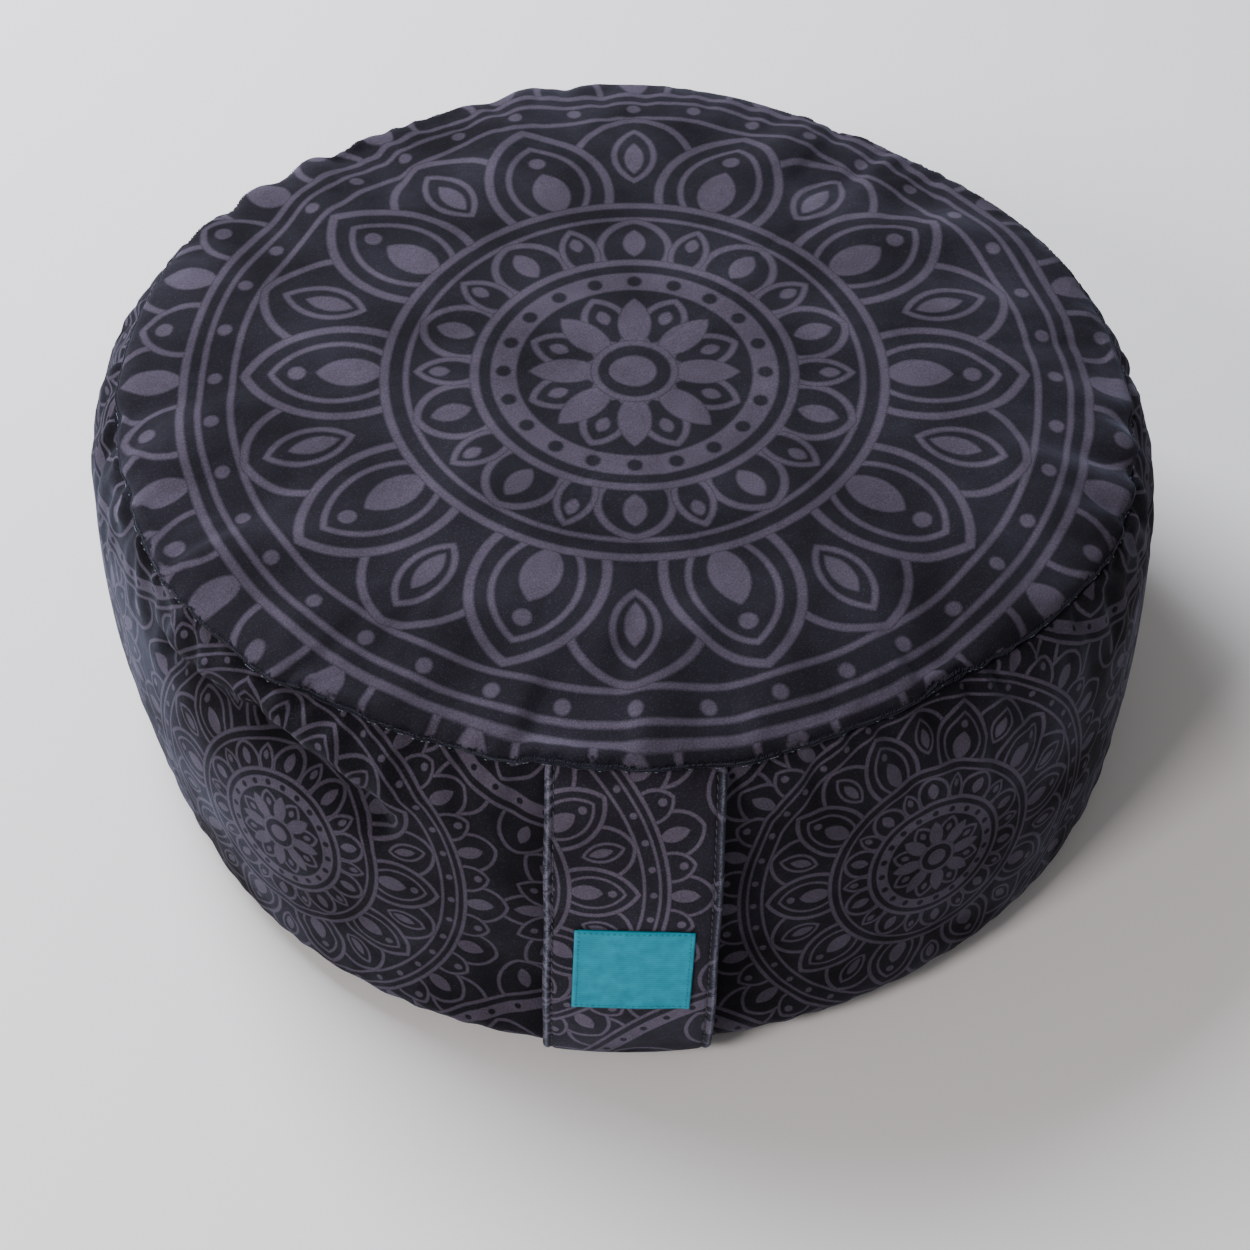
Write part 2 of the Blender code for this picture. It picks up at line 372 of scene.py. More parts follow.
def work_out(tree, given, sums):
    """Work out a table of sums: result, operation (! clamps it) and its terms."""
    values = dict(given)
    for result, operation, *terms in sums:
        inputs = {i: values.get(term, term) for i, term in enumerate(terms)}
        node = add_node(tree, "ShaderNodeMath", inputs, operation=operation.strip("!"))
        node.use_clamp = operation.endswith("!")
        values[result] = node.outputs[0]
    return values


def motif_ring(tree, x, y, motifs, ink):
    """Lay the motifs round one middle over the ink that is already there."""
    polar = work_out(tree, {"x": x, "y": y}, (
        ("angle", "ARCTAN2", "y", "x"),
        ("xx", "MULTIPLY", "x", "x"),
        ("rr", "MULTIPLY_ADD", "y", "y", "xx"),
        ("radius", "SQRT", "rr"),
    ))
    wedges = {}
    sharpness = 0.5 / PRINT_EDGE
    for petals, turn, base, tip, half_width, line in motifs:
        if petals == 0:
            distance = polar["radius"]
            reach = tip
        else:
            if (petals, turn) not in wedges:
                folded = work_out(tree, polar, (
                    ("turned", "MULTIPLY_ADD", "angle", petals / TAU, turn),
                    ("share", "FRACT", "turned"),
                    ("middle", "SUBTRACT", "share", 0.5),
                    ("side", "ABSOLUTE", "middle"),
                    ("bend", "MULTIPLY", "side", TAU / petals),
                    ("cosine", "COSINE", "bend"),
                    ("sine", "SINE", "bend"),
                    ("along", "MULTIPLY", "cosine", "radius"),
                    ("across", "MULTIPLY", "sine", "radius"),
                ))
                wedges[petals, turn] = add_node(tree, "ShaderNodeCombineXYZ", {
                    "X": folded["along"], "Y": folded["across"],
                }).outputs[0]
            # A leaf's side is an arc through its base, its widest point and its tip
            half_length = (tip - base) / 2
            reach = (half_length ** 2 + half_width ** 2) / (2 * half_width)
            centre = (base + half_length, half_width - reach, 0.0)
            distance = add_node(
                tree, "ShaderNodeVectorMath", {0: wedges[petals, turn], 1: centre},
                operation="DISTANCE",
            ).outputs["Value"]
        sums = [
            ("outside", "MULTIPLY_ADD!", distance, sharpness, 0.5 - reach * sharpness),
            ("left", "MINIMUM", ink, "outside"),
        ]
        if line > 0:
            sums += [
                ("off_line", "SUBTRACT", distance, reach - line / 2),
                ("from_line", "ABSOLUTE", "off_line"),
                ("on_line", "MULTIPLY_ADD!", "from_line", -sharpness, 0.5 + line / 2 * sharpness),
                ("left", "MAXIMUM", "left", "on_line"),
            ]
        ink = work_out(tree, {}, sums)["left"]
    return ink


def print_group():
    """The printed design as a node group, made once: place on the cloth in, ink out."""
    name = "Petal ring print"
    if name in bpy.data.node_groups:
        return bpy.data.node_groups[name]
    tree = bpy.data.node_groups.new(name, "ShaderNodeTree")
    tree.interface.new_socket("Place", in_out="INPUT", socket_type="NodeSocketVector")
    tree.interface.new_socket("Ink", in_out="OUTPUT", socket_type="NodeSocketFloat")
    place = add_node(tree, "NodeGroupInput").outputs["Place"]
    repeats = add_node(
        tree, "ShaderNodeVectorMath", {0: place, "Scale": 1 / (PRINT_PITCH * MM)},
        operation="SCALE",
    ).outputs[0]
    shares = add_node(tree, "ShaderNodeSeparateXYZ", {0: repeats}).outputs
    half = PRINT_PITCH / 2
    sums = []
    for axis, main, side in (("X", "u", "side_u"), ("Y", "v", "side_v")):
        sums += [
            (main, "ADD", shares[axis], 0.5),
            (main, "FRACT", main),
            (main, "MULTIPLY_ADD", main, PRINT_PITCH, -half),
            (side, "ABSOLUTE", main),
            (side, "SUBTRACT", side, half),
        ]
    tile = work_out(tree, {}, sums)
    ink = 0.0
    for x, y, motifs in (
        ("side_u", "side_v", CORNER_MOTIFS), ("side_u", "v", SIDE_MOTIFS),
        ("u", "v", MAIN_MOTIFS),
    ):
        ink = motif_ring(tree, tile[x], tile[y], motifs, ink)
    add_node(tree, "NodeGroupOutput", {"Ink": ink})
    return tree


def new_material(name):
    """A material with its Principled shader: returns it, its tree and the shader."""
    material = bpy.data.materials.new(name)
    material.use_nodes = True
    tree = material.node_tree
    return material, tree, tree.nodes["Principled BSDF"]


def printed_cloth(name, painted_brightness):
    """Cotton velveteen: a short cut pile, sheared even and printed in one colour.

    The upright pile swallows light, so it is matt and dark, with a bluish bloom
    where it turns away. Fibre tips catch the light and the print only colours
    the tips, so the light lines look speckled.
    """
    cloth = bpy.context.scene.zafu_cloth
    material, tree, shader = new_material(name)
    place = add_node(tree, "ShaderNodeUVMap", uv_map="cloth").outputs[0]
    real = add_node(tree, "ShaderNodeTexCoord").outputs["Object"]
    design = add_node(tree, "ShaderNodeGroup", {"Place": place}, node_tree=print_group())
    given = {"ink": design.outputs[0]}
    for grain, size, detail, roughness in CLOTH_GRAINS:
        given[grain] = add_node(tree, "ShaderNodeTexNoise", {
            "Vector": real, "Scale": 1 / (size * MM), "Detail": detail, "Roughness": roughness,
        }).outputs["Fac"]
    for share in ("worn", "deep", "tufted"):
        given[share] = add_node(tree, "ShaderNodeAttribute", attribute_name=share).outputs["Fac"]
    shade = work_out(tree, given, (
        # The nap breaks up the print
        ("speckle", "MULTIPLY_ADD", "nap", 1.3, 0.3),
        ("ink", "MULTIPLY!", "ink", "speckle"),
        # Tufts along the seam
        ("raised", "SUBTRACT", "tufted", "tufts"),
        ("raised", "MULTIPLY!", "raised", 5.0),
        # Light and dark of the nap and of handling, with painted light and painted shade
        ("grain", "MULTIPLY_ADD", "nap", 0.8, 0.6),
        ("patch", "MULTIPLY_ADD", "patches", 1.3, 0.35),
        ("shade", "MULTIPLY", "grain", "patch"),
        # Painted light: the whole copy is painted brighter by the given factor
        ("shade", "MULTIPLY", "shade", painted_brightness),
        # Painted shade: the band's ground is painted darker, and in the hollows of its first two
        # folds the whole cloth is painted darker still
        ("ground", "MULTIPLY_ADD", "deep", -0.35, 1.0),
        ("painted_hollow_shade", "SUBTRACT!", "deep", 1.0),
        ("painted_hollow_shade", "MULTIPLY_ADD", "painted_hollow_shade", -0.8, 1.0),
        ("shade", "MULTIPLY", "shade", "painted_hollow_shade"),
        # Pale fibres on rubbed edges, and everywhere a few pale tips
        ("fibres", "SUBTRACT", "nap", 0.35),
        ("fibres", "MULTIPLY!", "fibres", 4.0),
        ("rubbed", "MULTIPLY!", "worn", "fibres"),
        ("tips", "SUBTRACT", "nap", 0.55),
        ("tips", "MULTIPLY!", "tips", 0.4),
        # Where the pile lies over, it blooms
        ("bloom", "SUBTRACT", "patches", 0.36),
        ("bloom", "MULTIPLY!", "bloom", 0.8),
    ))
    colour = add_node(tree, "ShaderNodeVectorMath", {
        0: tuple(cloth.ground), "Scale": shade["ground"],
    }, operation="SCALE").outputs[0]
    for share, over in (("ink", cloth.ink), ("raised", cloth.pile), ("tips", cloth.worn)):
        colour = add_node(tree, "ShaderNodeMix", {
            0: shade[share], 6: colour, 7: (*over, 1.0),
        }, data_type="RGBA").outputs[2]
    dyed = add_node(tree, "ShaderNodeVectorMath", {
        0: colour, "Scale": shade["shade"],
    }, operation="SCALE")
    rubbed = add_node(tree, "ShaderNodeMix", {
        0: shade["rubbed"], 6: dyed.outputs[0], 7: (*cloth.worn, 1.0),
    }, data_type="RGBA")
    soft = add_node(tree, "ShaderNodeBump", {
        "Height": given["filling"], "Strength": 0.5, "Distance": 2.6 * MM,
    })
    napped = add_node(tree, "ShaderNodeBump", {
        "Height": given["nap"], "Strength": 0.55, "Distance": 0.35 * MM,
        "Normal": soft.outputs[0],
    })
    set_inputs(tree, shader, {
        "Base Color": rubbed.outputs[2], "Roughness": 0.95, "Specular IOR Level": 0.1,
        "Sheen Weight": shade["bloom"], "Sheen Roughness": 0.45,
        "Sheen Tint": (*linear_colour("#b9c1e0"), 1.0), "Normal": napped.outputs[0],
    })
    return material


# ---- mesh helpers
def spline(knots, values, at):
    """Smooth curve through values at rising knots, read at one place."""
    last = len(knots) - 1
    cell = 0
    while cell < last - 1 and at > knots[cell + 1]:
        cell += 1

    def slope(i):
        low = max(i - 1, 0)
        high = min(i + 1, last)
        return (values[high] - values[low]) / (knots[high] - knots[low])

    span = knots[cell + 1] - knots[cell]
    t = min(max((at - knots[cell]) / span, 0.0), 1.0)
    start = values[cell] * (1 + 2 * t) * (1 - t) ** 2
    end = values[cell + 1] * (3 - 2 * t) * t ** 2
    turn_in = slope(cell) * span * t * (1 - t) ** 2
    turn_out = -slope(cell + 1) * span * t ** 2 * (1 - t)
    return start + end + turn_in + turn_out


def node_surface(name):
    """A CAD node's surface, ready for casting rays at."""
    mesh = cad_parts[name].data
    mesh.calc_loop_triangles()
    corners = [vert.co.copy() for vert in mesh.vertices]
    return BVHTree.FromPolygons(corners, [tuple(t.vertices) for t in mesh.loop_triangles])


def new_piece(name, mesh):
    """Link a mesh to the scene as a named piece."""
    piece = bpy.data.objects.new(name, mesh)
    bpy.context.scene.collection.objects.link(piece)
    return piece


def finished(piece):
    """Apply a piece's modifiers, so that it is a plain mesh."""
    graph = bpy.context.evaluated_depsgraph_get()
    mesh = bpy.data.meshes.new_from_object(piece.evaluated_get(graph))
    piece.modifiers.clear()
    old = piece.data
    piece.data = mesh
    bpy.data.meshes.remove(old)
    mesh.name = piece.name
    return piece


def ring_blur(values, degrees):
    """Blur rows of values round the cushion, each row a closed ring."""
    count = values.shape[1]
    waves = np.arange(count // 2 + 1)
    keep = np.exp(-0.5 * (waves * math.radians(degrees)) ** 2)
    keep = keep.reshape((1, -1) + (1,) * (values.ndim - 2))
    return np.fft.irfft(np.fft.rfft(values, axis=1) * keep, n=count, axis=1)


def ring_wave(azimuths, lowest, highest, seed):
    """An irregular wave round the cushion, between about -1 and 1."""
    chance = np.random.default_rng(seed)
    wave = np.zeros(np.shape(azimuths))
    for cycles in range(lowest, highest + 1):
        wave += chance.normal() * np.cos(np.radians(azimuths) * cycles + chance.uniform(0, TAU))
    return wave / math.sqrt(highest - lowest + 1)


# ---- cushion
def away_from_seam(reach):
    """Distances from a seam in mm: close together first, then wider."""
    places = [0.0]
    step = FIRST_ROW
    while places[-1] + step < reach:
        places.append(places[-1] + step)
        step = min(step * ROW_GROWTH, WIDEST_ROW)
    return places


def fine_places():
    """Places of the finished mesh's rows: 0 at the top seam, rising down the band."""
    panel = [-place for place in away_from_seam(PANEL_RADIUS - 5)]
    half = away_from_seam(BAND_DEPTH / 2)
    band = half + [BAND_DEPTH - place for place in half]
    under = [BAND_DEPTH + place for place in UNDERSIDE_ROWS]
    return np.array(sorted(set(panel + band + under)))


def coarse_places():
    """Places of the simulated cover's rows, about 5 mm apart."""
    panel = np.linspace(-PANEL_RADIUS + 6, 0, 36)
    band = np.linspace(0, BAND_DEPTH, 27)[1:]
    return np.concatenate((panel, band, BAND_DEPTH + np.array(UNDERSIDE_ROWS[1::2])))


def aim(place, seam_r, seam_z, base_r):
    """Two (radius, height) points whose line meets the cover at one place."""
    heart = (seam_r - RIM_REACH, seam_z - RIM_REACH)
    foot = (base_r - FOOT_REACH, BASE_SEAM + FOOT_REACH)
    if place < -RIM_REACH:
        radius = heart[0] * (PANEL_RADIUS + place) / (PANEL_RADIUS - RIM_REACH)
        return (radius, heart[1]), (radius, seam_z)
    if place <= 0:
        return heart, (seam_r + place, seam_z)
    if place <= RIM_REACH:
        return heart, (seam_r, seam_z - place)
    if place < BAND_DEPTH - FOOT_REACH:
        share = (place - RIM_REACH) / (BAND_DEPTH - FOOT_REACH - RIM_REACH)
        height = heart[1] + (foot[1] - heart[1]) * share
        return (heart[0], height), (seam_r, height)
    if place <= BAND_DEPTH:
        return foot, (base_r, BASE_SEAM + BAND_DEPTH - place)
    inwards = place - BAND_DEPTH
    if inwards <= FOOT_REACH:
        return foot, (base_r - inwards, 0.0)
    radius = foot[0] * (1 - (inwards - FOOT_REACH) / (base_r - FOOT_REACH))
    return (radius, foot[1]), (radius, 0.0)


def cover_points(places, columns):
    """Points of the CAD cushion's surface, by row and column."""
    surface = node_surface("cushion")
    count = len(SEAM_LIFTS)
    knots, lifts = zip(*(
        (SEAM_LIFTS[i % count][0] + 360 * (i // count), SEAM_LIFTS[i % count][1])
        for i in range(-2, count + 2)
    ))
    points = np.zeros((len(places), columns, 3))
    for column, azimuth in enumerate(np.arange(columns) * 360 / columns):
        turn = math.radians(azimuth)
        outward = Vector((math.cos(turn), math.sin(turn), 0.0))

        def hit(start, end):
            origin = PLAN_MIDDLE + (outward * start[0] + Vector((0, 0, start[1]))) * MM
            aimed = outward * (end[0] - start[0]) + Vector((0, 0, end[1] - start[1]))
            return surface.ray_cast(origin, aimed)[0]

        def radius_at(height):
            found = hit((INSIDE_RADIUS, height), (2 * INSIDE_RADIUS, height))
            return (found - PLAN_MIDDLE).xy.length / MM

        seam_z = TOP_SEAM + spline(knots, lifts, azimuth)
        seam_r = radius_at(seam_z)
        base_r = radius_at(BASE_SEAM)
        for row, place in enumerate(places):
            points[row, column] = hit(*aim(place, seam_r, seam_z, base_r))
    return ring_blur(points, FACET_BLUR_DEG)


def grid_mesh(name, points, crown, foot):
    """A closed mesh from rows of points, with one point at either end."""
    row_count, columns = points.shape[:2]
    verts = [crown] + [tuple(p) for p in points.reshape(-1, 3)] + [foot]
    last = len(verts) - 1
    faces = []
    for c in range(columns):
        nxt = (c + 1) % columns
        faces.append((0, 1 + c, 1 + nxt))
        for r in range(row_count - 1):
            upper = 1 + r * columns
            lower = upper + columns
            faces.append((upper + c, lower + c, lower + nxt, upper + nxt))
        bottom = 1 + (row_count - 1) * columns
        faces.append((bottom + c, last, bottom + nxt))
    mesh = bpy.data.meshes.new(name)
    mesh.from_pydata(verts, [], faces)
    return mesh


def grid_normals(points):
    """Outward directions of a closed grid's points."""
    down = np.gradient(points, axis=0)
    along = np.roll(points, -1, axis=1) - np.roll(points, 1, axis=1)
    normals = np.cross(down, along)
    return normals / np.linalg.norm(normals, axis=2, keepdims=True)


def puckers_of_filling(places, columns):
    """Fill the cover by cloth simulation and return its wrinkles, by row and column.

    The seams and the underside are held. The panels are cut a little too long for
    them, so the pressure leaves puckers along the seams. The even swelling is
    taken out, because the CAD's shape has it already.
    """
    sizes = bpy.context.scene.zafu_sizes
    rows = coarse_places()
    points = cover_points(rows, sizes.columns)
    crown, foot = points[0].mean(axis=0), points[-1].mean(axis=0)
    cover = new_piece("simulated_cover", grid_mesh("simulated_cover", points, crown, foot))
    held = cover.vertex_groups.new(name="held")
    for row, place in enumerate(rows):
        if place == 0.0 or place >= BAND_DEPTH:
            first = 1 + row * sizes.columns
            held.add(list(range(first, first + sizes.columns)), 1.0, "REPLACE")
    held.add([0, len(cover.data.vertices) - 1], 1.0, "REPLACE")
    cloth = cover.modifiers.new("Cloth", "CLOTH")
    settings = cloth.settings
    settings.quality = 6
    settings.mass = 0.25
    settings.air_damping = 4.0
    settings.tension_stiffness = 18.0
    settings.compression_stiffness = 12.0
    settings.shear_stiffness = 4.0
    settings.bending_stiffness = 0.12
    settings.vertex_group_mass = "held"
    settings.shrink_min = -sizes.slack
    settings.use_pressure = True
    settings.uniform_pressure_force = sizes.pressure
    settings.effector_weights.gravity = 0.0
    cloth.collision_settings.use_collision = False
    scene = bpy.context.scene
    for step in range(1, SIMULATED_FRAMES + 1):
        scene.frame_set(step)
    filled = finished(cover).data
    moved = np.zeros(len(filled.vertices) * 3)
    filled.vertices.foreach_get("co", moved)
    scene.frame_set(1)
    bpy.data.objects.remove(cover)
    bpy.data.meshes.remove(filled)
    moves = moved.reshape(-1, 3)[1:-1].reshape(points.shape) - points
    fine = moves - ring_blur(moves, SWELL_BLUR_DEG)
    on_panel = 0.12 + 0.88 * np.exp(-((rows / PANEL_WRINKLES) ** 2))
    on_band = np.clip((BAND_DEPTH - rows) / BAND_WRINKLES, 0.25, 1.0)
    fine *= np.where(rows < 0, on_panel, on_band)[:, None, None]
    size = np.maximum(np.linalg.norm(fine, axis=2, keepdims=True), 1e-9)
    fine *= WRINKLE_CAP * MM * np.tanh(size / (WRINKLE_CAP * MM)) / size
    waves = np.fft.rfft(fine, axis=1)
    round_it = np.fft.irfft(waves, n=columns, axis=1) * columns / sizes.columns
    return np.array([spline(rows, round_it, place) for place in places])


def sewn_relief(places, azimuths):
    """How far the sewing moves the cover along its outward direction, in mm."""
    place = places[:, None]
    azimuth = azimuths[None, :]
    relief = np.zeros((len(places), len(azimuths)))
    for seam, gather in SEAM_GATHERS:
        off = place - seam
        relief -= GROOVE_DEPTH * np.exp(-((off / GROOVE_HALF) ** 2))
        near = np.exp(-np.abs(off) / GATHER_REACH)
        strength = np.clip(0.5 + 0.6 * ring_wave(azimuth, *GATHER_STRENGTH), 0.1, 1.6)
        relief += gather * near * strength * ring_wave(azimuth + off * GATHER_SLANT, *GATHERS)
    inside = np.exp(-(((place - DENT_MIDDLE) / DENT_HALF) ** 2))
    inside = np.clip(-place / DENT_EDGE, 0, 1) * inside
    relief += DENT_DEPTH * inside * ring_wave(azimuth + DENT_SLANT * place, *PANEL_DENTS)
    for at, side, depth, half_width, reach in SEAM_PUCKERS:
        off = (azimuth - at + 180) % 360 - 180
        across = np.radians(off) * PANEL_RADIUS / half_width
        inward = np.abs(place) / reach
        on_side = (np.sign(place) == side) | (place == 0)
        # A valley with a low ridge on either side, which starts just off the seam
        shape = np.exp(-(across ** 2)) - 0.5 * np.exp(-((np.abs(across) - 1.9) ** 2))
        relief -= depth * on_side * shape * np.exp(-inward) * np.minimum(np.abs(place) / 3, 1)
    for fold in BAND_FOLDS:
        relief += fold[-1] * near_fold(fold, place, azimuth)
    return relief


def near_fold(fold, place, azimuth):
    """How near the cover is to one of the band's folds: 1 on it and 0 far away."""
    azimuth_a, height_a, azimuth_b, height_b, half_width, out = fold
    radius = math.radians(BAND_RADIUS)
    start = np.array((azimuth_a * radius, TOP_SEAM - height_a))
    along = np.array((azimuth_b * radius, TOP_SEAM - height_b)) - start
    from_start = np.stack(np.broadcast_arrays(azimuth * radius, place), axis=-1) - start
    share = np.clip(from_start @ along / (along @ along), 0, 1)
    gap = np.linalg.norm(from_start - share[..., None] * along, axis=2)
    return np.exp(-((gap / half_width) ** 2)) * (place > FOLDS_FROM)


def edge_roll(places, azimuths):
    """How the panel's edge rolls out over the top seam, by row and column."""
    at, share_out, share_up, share_follow = np.array(EDGE_ROLL, dtype=float).T
    around, *rows = np.array(PANEL_EDGE, dtype=float).T
    reach, follow = (
        ring_blur(np.interp(azimuths, around, row, period=360)[None, :], EDGE_BLUR_DEG)[0]
        for row in rows
    )
    reach = reach * (1 + EDGE_UNEVEN * ring_wave(azimuths, *EDGE_WAVES))
    outwards = np.interp(places, at, share_out)[:, None] * reach
    outwards += np.interp(places, at, share_follow)[:, None] * follow * reach
    turn = np.radians(azimuths)
    return np.stack((
        outwards * np.cos(turn), outwards * np.sin(turn),
        np.interp(places, at, share_up)[:, None] * reach,
    ), axis=-1) * MM


def write_cloth_places(mesh, places, points):
    """Write each face corner's place on the printed cloth, in metres."""
    rows, columns = points.shape[:2]
    seam = int(np.argmin(np.abs(places)))
    base = int(np.argmin(np.abs(places - BAND_DEPTH)))
    steps = np.linalg.norm(np.diff(points, axis=0), axis=2)
    first = np.linalg.norm(points[0] - points[0].mean(axis=0), axis=1)
    lengths = np.concatenate((first[None], first + np.cumsum(steps, axis=0)))
    turn = np.arange(columns + 1) * TAU / columns
    wide = np.concatenate((lengths, lengths[:, :1]), axis=1)
    panel = np.stack((wide * np.cos(turn) - PRINT_SHIFT_X, wide * np.sin(turn)), axis=-1)
    panel = panel / PANEL_PRINT_SCALE
    down = wide - wide[seam]
    half = down[base].mean() / 2
    band = np.stack(np.broadcast_arrays(
        (np.degrees(turn) - BAND_PRINT_AZIMUTH) / BAND_PRINT_TURN * PRINT_PITCH * MM,
        (half - down) / BAND_PRINT_SCALE,
    ), axis=-1)
    inner = np.linalg.norm(points[:, :, :2] - np.array(PLAN_MIDDLE.xy), axis=2)
    inner = np.concatenate((inner, inner[:, :1]), axis=1)
    under = np.stack((inner * np.cos(turn), inner * np.sin(turn)), axis=-1)
    layer = mesh.uv_layers.new(name="cloth")
    values = []
    for column in range(columns):
        nxt = column + 1
        values += [(0.0, 0.0), panel[0, column], panel[0, nxt]]
        for row in range(rows - 1):
            grid = panel if row < seam else band if row < base else under
            values += [
                grid[row, column], grid[row + 1, column], grid[row + 1, nxt], grid[row, nxt],
            ]
        values += [under[-1, column], (0.0, 0.0), under[-1, nxt]]
    layer.data.foreach_set("uv", np.array(values).ravel())


def write_numbers(mesh, name, values):
    """Write one number at each vertex."""
    layer = mesh.attributes.new(name, "FLOAT", "POINT")
    layer.data.foreach_set("value", np.asarray(values, dtype=np.float32).ravel())


def build_cushion():
    """The padded cushion: a filled cover with puckered seams."""
    places = fine_places()
    azimuths = np.arange(COLUMNS) * 360 / COLUMNS
    smooth = cover_points(places, COLUMNS)
    shaped = smooth
    shaped = shaped + puckers_of_filling(places, COLUMNS)
    relief = sewn_relief(places, azimuths)
    relief *= (places < BAND_DEPTH + BASE_RELIEF)[:, None]
    shaped = shaped + grid_normals(smooth) * relief[:, :, None] * MM
    shaped = shaped + edge_roll(places, azimuths)
    shaped[:, :, 2] = np.maximum(shaped[:, :, 2], 0.0)
    crown = shaped[0].mean(axis=0) + (0.0, 0.0, CROWN_POINT * MM)
    foot = shaped[-1].mean(axis=0)
    mesh = grid_mesh("padded_cushion", shaped, crown, foot)
    write_cloth_places(mesh, places, smooth)
    # Rubbed spots lie on the panel's rolled edge
    worn = RUBBED_SHARE * np.exp(-(((places + 0.7) / 0.8) ** 2))[:, None]
    worn = worn * np.clip(ring_wave(azimuths, *RUBBED_SPOTS), 0, 1)[None, :]
    # Painted shade: the band is 1, and the hollows of its first two folds are more
    deep = np.repeat((places > 0)[:, None] * 1.0, COLUMNS, axis=1)
    for fold in BAND_FOLDS[:2]:
        deep += 0.5 * near_fold(fold, places[:, None], azimuths[None, :])
    # Tufts thin out over the panel, away from the seam
    tufted = np.where(places <= 0.7, np.clip(1.1 + places / TUFTED_REACH, 0, 1), 0.0)
    tufted = np.repeat(tufted[:, None], COLUMNS, axis=1)
    for name, shares in (("worn", worn), ("deep", deep), ("tufted", tufted)):
        write_numbers(mesh, name, np.concatenate(([0.0], shares.ravel(), [0.0])))
    mesh.materials.append(printed_cloth("Cotton velveteen, printed", 1.0))
    mesh.shade_smooth()
    cushion = new_piece("padded_cushion", mesh)
    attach(cushion, "root")
    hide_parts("cushion")


# ---- strap and label
def strap_level(height):
    """How far up the strap a height is: 0 at its foot and 1 at its head."""
    return min(max((height - STRAP_FOOT) / (STRAP_HEAD - STRAP_FOOT), 0.0), 1.0)


def strap_middle(level):
    """Where the strap's middle line runs, left to right in mm."""
    return STRAP_BOTTOM_X + (STRAP_TOP_X - STRAP_BOTTOM_X) * level


def strap_place(along, across, out):
    """A point on the strap: along it in mm, across it, and out from its face."""
    rows = (STRAP_HEIGHTS, STRAP_FRONTS)
    height, front = (spline(STRAP_KNOTS, row, along) for row in rows)
    rise, gain = (
        spline(STRAP_KNOTS, row, along + 0.5) - spline(STRAP_KNOTS, row, along - 0.5)
        for row in rows
    )
    level = strap_level(height)
    loose = math.sin(math.pi * level)
    front -= across ** 2 / (2 * front) * (1 - STRAP_FLATNESS * loose)
    front += STRAP_LEAN * loose * across
    x = strap_middle(level) + across
    steep = math.hypot(rise, gain)
    place = Vector((x, -front + out * rise / steep, height + out * gain / steep))
    return PLAN_MIDDLE + place * MM


def strip_mesh(name, stations, section, place, cloth_place):
    """A closed strip: one section repeated along it, with closed ends.

    Section is a loop of (across, out). Place gives a point from a station and a
    section point, and cloth_place the place on the printed cloth.
    """
    mesh = bpy.data.meshes.new(name)
    shell = bmesh.new()
    uv = shell.loops.layers.uv.new("cloth")
    count = len(section)
    rows = [
        [shell.verts.new(place(station, *point)) for point in section] for station in stations
    ]
    for r in range(len(rows) - 1):
        for c in range(count):
            nxt = (c + 1) % count
            face = shell.faces.new((rows[r][c], rows[r][nxt], rows[r + 1][nxt], rows[r + 1][c]))
            corners = ((r, c), (r, nxt), (r + 1, nxt), (r + 1, c))
            for loop, (row, column) in zip(face.loops, corners):
                loop[uv].uv = cloth_place(stations[row], section[column][0])
    for row in (rows[0], rows[-1]):
        shell.faces.new(row)
    bmesh.ops.recalc_face_normals(shell, faces=shell.faces[:])
    shell.to_mesh(mesh)
    shell.free()
    mesh.shade_smooth()
    return mesh


def mirrored(half, back):
    """A closed section from the front's right half and the back's depth."""
    right = list(half)
    left = [(-across, out) for across, out in half if across > 0]
    edge = half[0][0]
    rounding = [(edge - 0.9, back + 0.5), (edge - 2.4, back)]
    rear = rounding + [(edge * share, back) for share in (0.6, 0.2)]
    return left + right[::-1] + rear + [(-across, out) for across, out in reversed(rear)]


def build_strap():
    """The carry strap: a folded strip with stitched edges."""
    section = mirrored(STRAP_FRONT, -2.4)
    stations = np.linspace(0.0, STRAP_KNOTS[-1], 150)

    def place(station, across, out):
        slack = STRAP_RIPPLE * math.sin(math.pi * station / STRAP_KNOTS[-1])
        ripple = math.sin(station * 0.13 + across * 0.05) * math.sin(station * 0.05 + 1.0)
        edge = math.sin(station * 0.11 + (2.0 if across > 0 else 0.0)) * abs(across) / 30
        return strap_place(station, across + edge * slack, out + ripple * slack)

    def cloth_place(station, across):
        return (
            (across + STRAP_PRINT_SHIFT[0]) * MM / BAND_PRINT_SCALE,
            (STRAP_PRINT_SHIFT[1] - station) * MM / BAND_PRINT_SCALE,
        )

    mesh = strip_mesh("folded_strap", stations, section, place, cloth_place)
    # Its folded edges are rubbed pale, more in some places than in others
    chance = np.random.default_rng(3)
    patches = np.interp(
        np.arange(len(stations)), np.arange(0, len(stations), 6), chance.uniform(-0.2, 1, 25)
    )
    crest = np.array([
        math.exp(-(((abs(across) - STRAP_BEAD) / 0.5) ** 2)) for across, out in section
    ])
    write_numbers(mesh, "worn", np.clip(0.55 + 0.45 * patches, 0, 1)[:, None] * crest[None, :])
    # Painted light: the strap's copy of the cloth is painted 1.62 times brighter than the cover's
    mesh.materials.append(printed_cloth("Cotton velveteen strap, printed", 1.62))
    strap = new_piece("folded_strap", mesh)
    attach(strap, "root")
    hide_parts("carry_strap")


